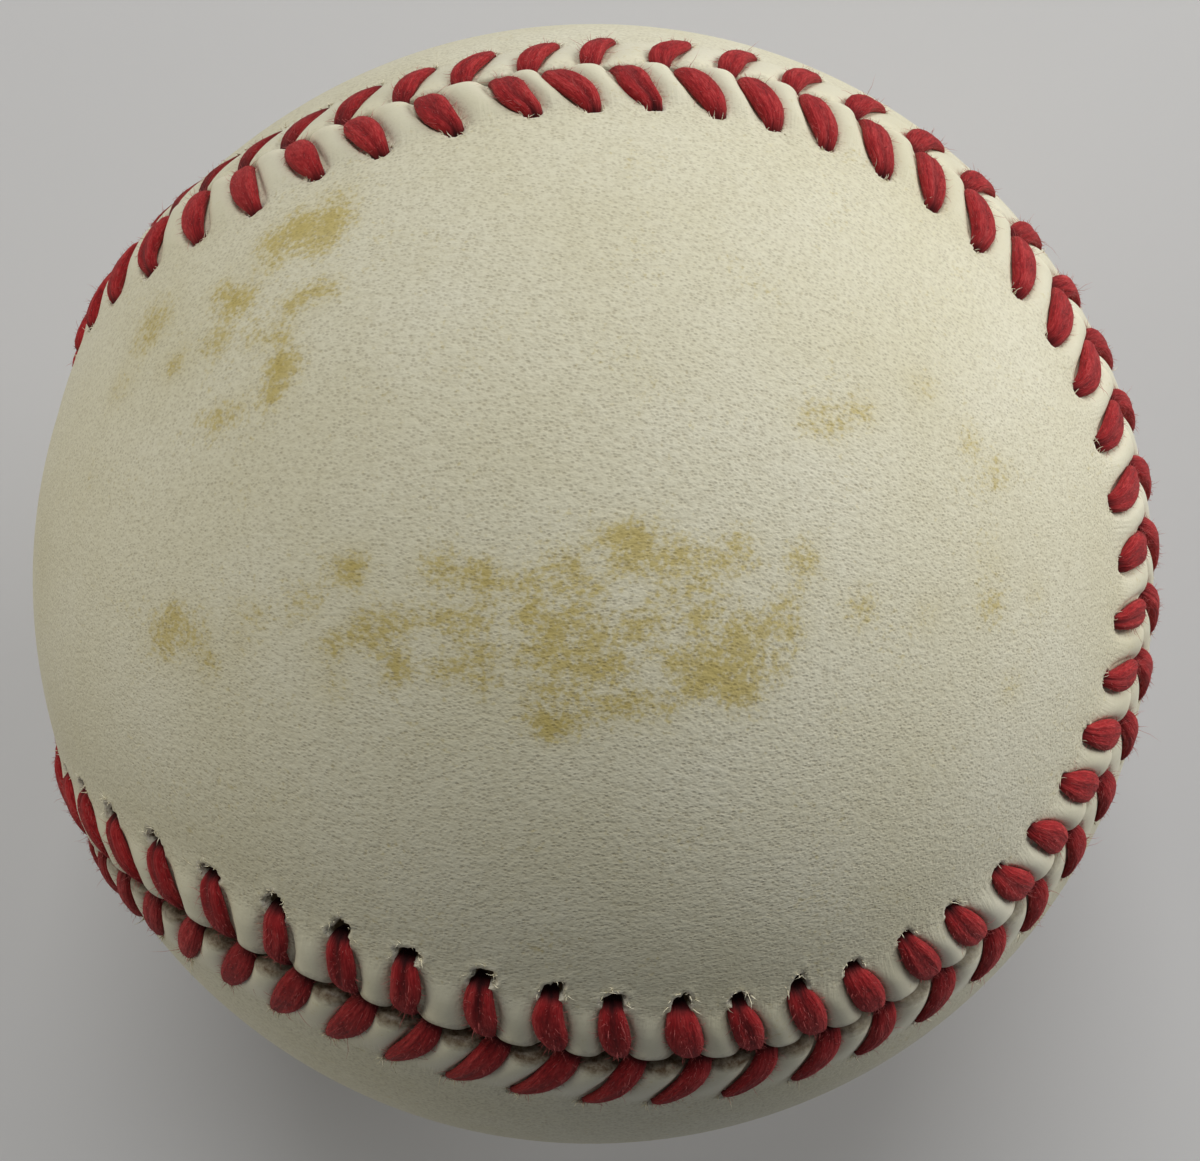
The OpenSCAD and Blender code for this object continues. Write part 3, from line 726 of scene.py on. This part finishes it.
# Two waxed red cotton threads sew the panels together, each crossing from one panel to the other
# at every stitch: up through a hole, over the leather, down into the seam and under the far edge.
# Each stitch is a doubled strand that spreads into a leaf shape with a groove along its middle.
# Each ring of a stitch: distance from the seam, height over the leather, half thickness and groove.
ARM_RUN = {
    1: np.array([
        (5.3, -1.16, 0.16, 0), (5.36, -0.9, 0.24, 0.2), (5.34, -0.55, 0.31, 0.5), (5.22, -0.2, 0.36, 0.75),
        (5, 0.05, 0.39, 0.85), (4.66, 0.19, 0.41, 0.85), (4.2, 0.27, 0.43, 0.8), (3.6, 0.31, 0.45, 0.72),
        (2.95, 0.32, 0.46, 0.6), (2.3, 0.3, 0.45, 0.48), (1.7, 0.25, 0.43, 0.38), (1.2, 0.17, 0.41, 0.3),
        (0.8, 0.05, 0.37, 0.25), (0.44, -0.12, 0.33, 0.2), (0.12, -0.36, 0.29, 0.1),
        (-0.14, -0.62, 0.25, 0), (-0.4, -0.92, 0.2, 0), (-1.2, -1.12, 0.15, 0), (-2.6, -1.2, 0.15, 0),
        (-4.2, -1.2, 0.15, 0)]),
    -1: np.array([
        (5.28, -1.16, 0.14, 0), (5.32, -0.92, 0.16, 0.1), (5.32, -0.6, 0.18, 0.2), (5.26, -0.3, 0.2, 0.3),
        (5.1, -0.08, 0.22, 0.4), (4.82, 0.04, 0.26, 0.5), (4.36, 0.13, 0.31, 0.55), (3.76, 0.2, 0.36, 0.55),
        (3.1, 0.25, 0.4, 0.5), (2.44, 0.27, 0.42, 0.44), (1.82, 0.25, 0.42, 0.4), (1.28, 0.18, 0.4, 0.36),
        (0.84, 0.09, 0.37, 0.3), (0.46, -0.04, 0.32, 0.2), (0.14, -0.24, 0.27, 0.1),
        (-0.12, -0.52, 0.22, 0), (-0.36, -0.9, 0.17, 0), (-1.2, -1.19, 0.15, 0), (-2.6, -1.2, 0.15, 0),
        (-4.2, -1.2, 0.15, 0)])}
# Half width of each ring on a tight stitch of panel a and of panel b, and what an open stitch has more.
ARM_WIDTH = {
    1: np.array([0.34, 0.36, 0.39, 0.44, 0.51, 0.62, 0.76, 0.87, 0.92, 0.92, 0.87, 0.79, 0.7, 0.6, 0.5,
                 0.42, 0.4, 0.42, 0.45, 0.45]),
    -1: np.array([0.22, 0.24, 0.26, 0.29, 0.33, 0.38, 0.47, 0.58, 0.67, 0.73, 0.75, 0.72, 0.65, 0.55,
                  0.45, 0.4, 0.42, 0.45, 0.45, 0.45])}
OPEN_WIDTH = {
    1: np.array([0.13, 0.16, 0.18, 0.19, 0.18, 0.14, 0.07, 0, -0.05, -0.08, -0.11, -0.15, -0.19, -0.2,
                 -0.14, -0.06, 0, 0, 0, 0]),
    -1: np.array([-0.02, -0.04, -0.07, -0.1, -0.12, -0.09, -0.05, -0.02, 0, 0, 0.02, 0.05, 0.08, 0.1, 0.1,
                  0.06, 0, 0, 0, 0])}
SECTION_SIDES = 16
# How far along the seam an open stitch's end in the valley lies over, as a share of a stitch.
OPEN_SHIFT = {1: 0.09, -1: 0.02}


def thread_rings(first_side):
    """Place, distance, radius, half width, half thickness and groove of every ring of one thread. Along an
    arm the place runs from the hole's to the tip's, bowed a little, and then on to the next hole's."""
    rings = []
    for i in range(STITCHES):
        side = first_side if i % 2 == 0 else -first_side
        own, other = hand[side], hand[-side]
        hole = i + HOLE_SHARE[side] + own["hole"][i]
        tip = i + TIP_SHARE[side] + own["tip"][i]
        after = i + 1 + HOLE_SHARE[-side] + other["hole"][(i + 1) % STITCHES]
        w, height, half_t, groove = ARM_RUN[side].T
        reach = 1 + (own["hole_w"][i] - PULL_BACK[side] * own["open"][i]) / HOLE_W
        share = np.clip(1 - w / HOLE_W, 0, 1)
        under = np.clip(-w / HOLE_W, 0, 1)
        place = hole + (tip - hole) * share + BOW_SHARE[side] * np.sin(np.pi * share) + (after - tip) * under
        place = place + own["twist"][i] * np.sin(2 * np.pi * share)
        place = place + OPEN_SHIFT[side] * own["open"][i] * smooth(1.7, 0.1, w) * smooth(-1, 0, w)
        w = w * (1 + (reach - 1) * smooth(0, 3, w))
        half_w = ARM_WIDTH[side] + OPEN_WIDTH[side] * own["open"][i]
        wide = np.where(height > -0.3, own["width"][i], 1)
        groove = side * groove * own["split"][i]
        if side < 0:
            height = height - np.interp(i, *LOW_STITCHES) * smooth(-0.5, 0.1, height)
        rings.append(np.stack([place, side * w, COVER_R + height, half_w * wide, half_t, groove], -1))
    return np.concatenate(rings)


def swept(rings):
    """Points of a closed sweep: each ring is an oval across the run, with a groove on its outer side whose
    depth is a share of its height. Returns the points, the angles round a ring, the length along the run,
    the groove's depth, and every ring's middle and its run, width and height directions."""
    place, w, r, half_w, half_t, groove = rings.T
    centre = beside_seam(place, w, r)
    before = unit(centre - np.roll(centre, 1, 0))
    after = unit(np.roll(centre, -1, 0) - centre)
    run = unit(before + after)
    seam_way = unit(beside_seam(place + 0.05, 0, COVER_R) - beside_seam(place - 0.05, 0, COVER_R))
    across = unit(seam_way - run * np.sum(seam_way * run, -1, keepdims=True))
    up = np.cross(run, across)
    angle = np.arange(SECTION_SIDES) / SECTION_SIDES * 2 * np.pi
    x = np.sign(np.cos(angle)) * np.abs(np.cos(angle)) ** 0.9
    # The frame turns over from one panel's stitch to the next, so the groove's sign says which way is out.
    outer = np.sin(angle)[None, :] * np.sign(groove)[:, None] > 0
    dip = np.abs(groove)[:, None] * np.exp(-(np.cos(angle)[None, :] / 0.28) ** 2) * outer
    y = np.sin(angle)[None, :] * (1 - dip)
    points = (centre[:, None, :] + across[:, None, :] * (x[None, :] * half_w[:, None])[..., None]
              + up[:, None, :] * (y * half_t[:, None])[..., None])
    length = np.cumsum(np.linalg.norm(centre - np.roll(centre, 1, 0), axis=-1))
    return points, angle, length, dip, (centre, run, across, up)


# How many loose fibres stand at each ring of an arm, and their usual length and radius in mm.
FIBRES_AT_RING, FIBRE_LENGTH, FIBRE_R = 12, 0.20, 0.013


def fuzz(rings, lines, blocks):
    """Loose fibres along the arms of one thread, from the outer half of its section, leaning either way."""
    centre, run, across, up = lines
    on_arm = np.flatnonzero((rings[:, 2] > COVER_R - 0.1) & (rings[:, 5] != 0))
    k = np.repeat(on_arm, FIBRES_AT_RING)
    n = len(k)
    nxt = (k + 1) % len(rings)
    t = rng.uniform(0, 1, n)
    turn = rng.uniform(-0.3, np.pi + 0.3, n)
    x, y = np.cos(turn), np.sin(turn)
    rise = up[k] * np.sign(rings[k, 5])[:, None]
    middle = centre[k] * (1 - t[:, None]) + centre[nxt] * t[:, None]
    half_w = rings[k, 3] * (1 - t) + rings[nxt, 3] * t
    root = middle + across[k] * (x * half_w * 0.97)[:, None] + rise * (y * rings[k, 4] * 0.93)[:, None]
    lean = rng.normal(0, 0.8, n)
    way = unit(across[k] * x[:, None] + rise * (0.7 * y + 0.1)[:, None] + run[k] * lean[:, None])
    aside = unit(np.cross(way, rng.normal(size=way.shape)))
    length = FIBRE_LENGTH * rng.lognormal(0, 0.65, n)
    return hairs(root, way, aside, length, np.full(n, FIBRE_R), blocks)


# Waxed cotton thread, dyed crimson: long twisted fibres, a soft sheen where the wax is worn off, and paler
# loose fibres. It is painted darker where it goes down into the holes and the seam and along its groove, as
# painted shade, and on pulled stitches, as painted shade together with grime.
FIBRE_LAY = {"Scale": (11.0, 2.2, 1.0), "Rotation": (0, 0, 0.10)}
STRAND_LAY = {"Scale": (2.6, 0.30, 1.0), "Rotation": (0, 0, 0.07)}
PATCHES_PER_MM = 0.9
thread, tree, shader, mm = new_finish("waxed_cotton_thread_crimson")
run_mm = add(tree, "UVMap", {}, uv_map="run_mm")
twist = add(tree, "Mapping", {"Vector": run_mm, **FIBRE_LAY})
fibres = add(tree, "TexNoise", {
    "Vector": twist, "Scale": 1.0, "Detail": 4, "Roughness": 0.6, "Distortion": 0.3})
patches = add(tree, "TexNoise", {"Vector": mm, "Scale": PATCHES_PER_MM, "Detail": 3})
mixed = add(tree, "Math", {0: patches, 1: 0.35, 2: fibres}, operation="MULTIPLY_ADD")
strands = add(tree, "Mapping", {"Vector": run_mm, **STRAND_LAY})
strands = add(tree, "TexNoise", {"Vector": strands, "Scale": 1.0, "Detail": 1})
mixed = add(tree, "Math", {0: strands, 1: 0.5, 2: mixed}, operation="MULTIPLY_ADD")
mixed = add(tree, "Math", {0: mixed, 1: 0.54}, operation="MULTIPLY")
shade = add(tree, "ValToRGB", {"Fac": mixed},
            stops=[(0.36, "#731017"), (0.50, "#A31E23"), (0.64, "#C84545")])
sunk_shade = add(tree, "Attribute", {}, out="Fac", attribute_name="sunk_shade")
loose = add(tree, "MapRange", {"Value": sunk_shade, "From Min": 0.0, "From Max": -0.3, "To Max": 0.7})
# The dark tint is painted shade where the thread goes down and in its groove; the pale tint colours the loose
# fibres.
for share, tint in ((sunk_shade, "#2C060A"), (loose, "#C97472")):
    shade = add(tree, "Mix", {0: share, 6: shade, 7: linear(tint)}, out=2, data_type="RGBA")
ridges = add(tree, "Math", {0: strands, 1: 3.5, 2: fibres}, operation="MULTIPLY_ADD")
bump = add(tree, "Bump", {"Height": ridges, "Distance": 0.00009, "Strength": 0.8})
wire(shader, {"Base Color": shade, "Normal": bump, "Roughness": 0.78, "Sheen Weight": 0.16,
              "Sheen Tint": linear("#F09A98"), "Specular IOR Level": 0.2})
# The depth by which the material knows a loose fibre, and the radius in mm at which the fibres are laid out
# round the strand.
LOOSE, STRAND_R = -0.35, 0.75


def sew_thread(name, first_side):
    """One thread as a closed sweep of all its stitches, with its fibre coordinates and its mask of painted
    shade.
    """
    rings = thread_rings(first_side)
    points, angle, length, dip, lines = swept(rings)
    blocks = []
    ids = put(blocks, points)
    beyond = np.roll(ids, -1, 0)
    sweep = np.stack([np.roll(ids, -1, 1), np.roll(beyond, -1, 1), beyond, ids], -1).reshape(-1, 4)
    spikes, tips = fuzz(rings, lines, blocks)
    piece = make_mesh(name + "_waxed", blocks, [sweep, spikes, tips], thread)

    # Painted shade: darker below the leather's face and in the groove, and a little on pulled stitches, there
    # with grime too.
    shade_and_soil = 0.14 * np.interp(np.mod(rings[:, 0], STITCHES), every_stitch, hand[1]["open"])
    sunk_shade = np.clip(1 - smooth(-0.45, 0.20, rings[:, 2] - COVER_R)[:, None] + 1.1 * dip + shade_and_soil[:, None], 0, 1)
    paint(piece, "sunk_shade", np.concatenate([sunk_shade.reshape(-1), np.full(len(blocks[-1]), LOOSE)]))
    here, there = angle * STRAND_R, np.append(angle[1:], 2 * np.pi) * STRAND_R
    now, then = length[:, None], np.append(length[1:], length[-1] + 1)[:, None]
    corners = np.broadcast_arrays(there, now, there, then, here, then, here, now)
    corners = np.stack(corners, -1).reshape(-1, 2)
    map_corners(piece, "run_mm", np.concatenate([corners, np.zeros((spikes.size + tips.size, 2))]))
    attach(piece, "root")
    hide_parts(name)


sew_thread("thread_a", 1)
sew_thread("thread_b", -1)


# The ball lies on a plain pale table that fills the view behind it. Its top is 0.6 mm under the leather's
# face, clear of every pillow and stitch.
FLOOR_HALF, FLOOR_Z = 1.5, -COVER_R * 0.001 - 0.0006
floor_mesh = bpy.data.meshes.new("table_top")
corners = [(x * FLOOR_HALF, y * FLOOR_HALF, FLOOR_Z) for x, y in ((-1, -1), (1, -1), (1, 1), (-1, 1))]
floor_mesh.from_pydata(corners, [], [(0, 1, 2, 3)])
floor = new_object("table_top", floor_mesh)
paper, tree, shader, mm = new_finish("matt_paper")
wire(shader, {"Base Color": linear("#D8D8DB"), "Roughness": 0.9})
floor_mesh.materials.append(paper)

world = bpy.data.worlds.new("room")
bpy.context.scene.world = world
world.use_nodes = True
wire(world.node_tree.nodes["Background"], {"Color": linear("#E9ECEE"), "Strength": 0.137})


def stand(piece, x, y, z, spot):
    """Puts a piece at a spot in metres, with its own axes along x, y and z."""
    piece.matrix_world = Matrix([[x[k], y[k], z[k], spot[k]] for k in range(3)] + [[0, 0, 0, 1]])


def lamp(name, spot, watts, colour):
    """A soft square lamp of 0.32 m at a spot in metres, aimed at the ball."""
    data = bpy.data.lights.new(name, "AREA")
    data.shape = "SQUARE"
    data.size = 0.32
    data.energy = watts
    data.color = linear(colour)[:3]
    z = unit(np.array(spot))
    x = unit(np.cross([0.0, 0.0, 1.0], z))
    stand(new_object(name, data), x, np.cross(z, x), z, spot)


lamp("window_right", (0.560, 0.300, 0.135), 2.28, "#FFFDF8")
lamp("ceiling_light", (0.020, 0.415, 0.500), 2.18, "#FFFEFA")
lamp("window_left", (-0.634, -0.048, 0.134), 0.95, "#FFF6DC")

# The camera stands a hand's breadth over the ball, as the photograph's did.
camera_data = bpy.data.cameras.new("camera")
camera_data.sensor_fit = "HORIZONTAL"
camera_data.sensor_width = 36
camera_data.lens = 47.01
camera_data.clip_start = 0.005
camera_data.clip_end = 20
camera = new_object("camera", camera_data)
right, up, back = (0.99545, 0.03853, -0.08720), (-0.03263, 0.99715, 0.06804), (0.08957, -0.06489, 0.99386)
stand(camera, right, up, back, (0.010296, -0.006945, 0.109632))
bpy.context.scene.camera = camera

bpy.context.scene.view_settings.view_transform = "Standard"
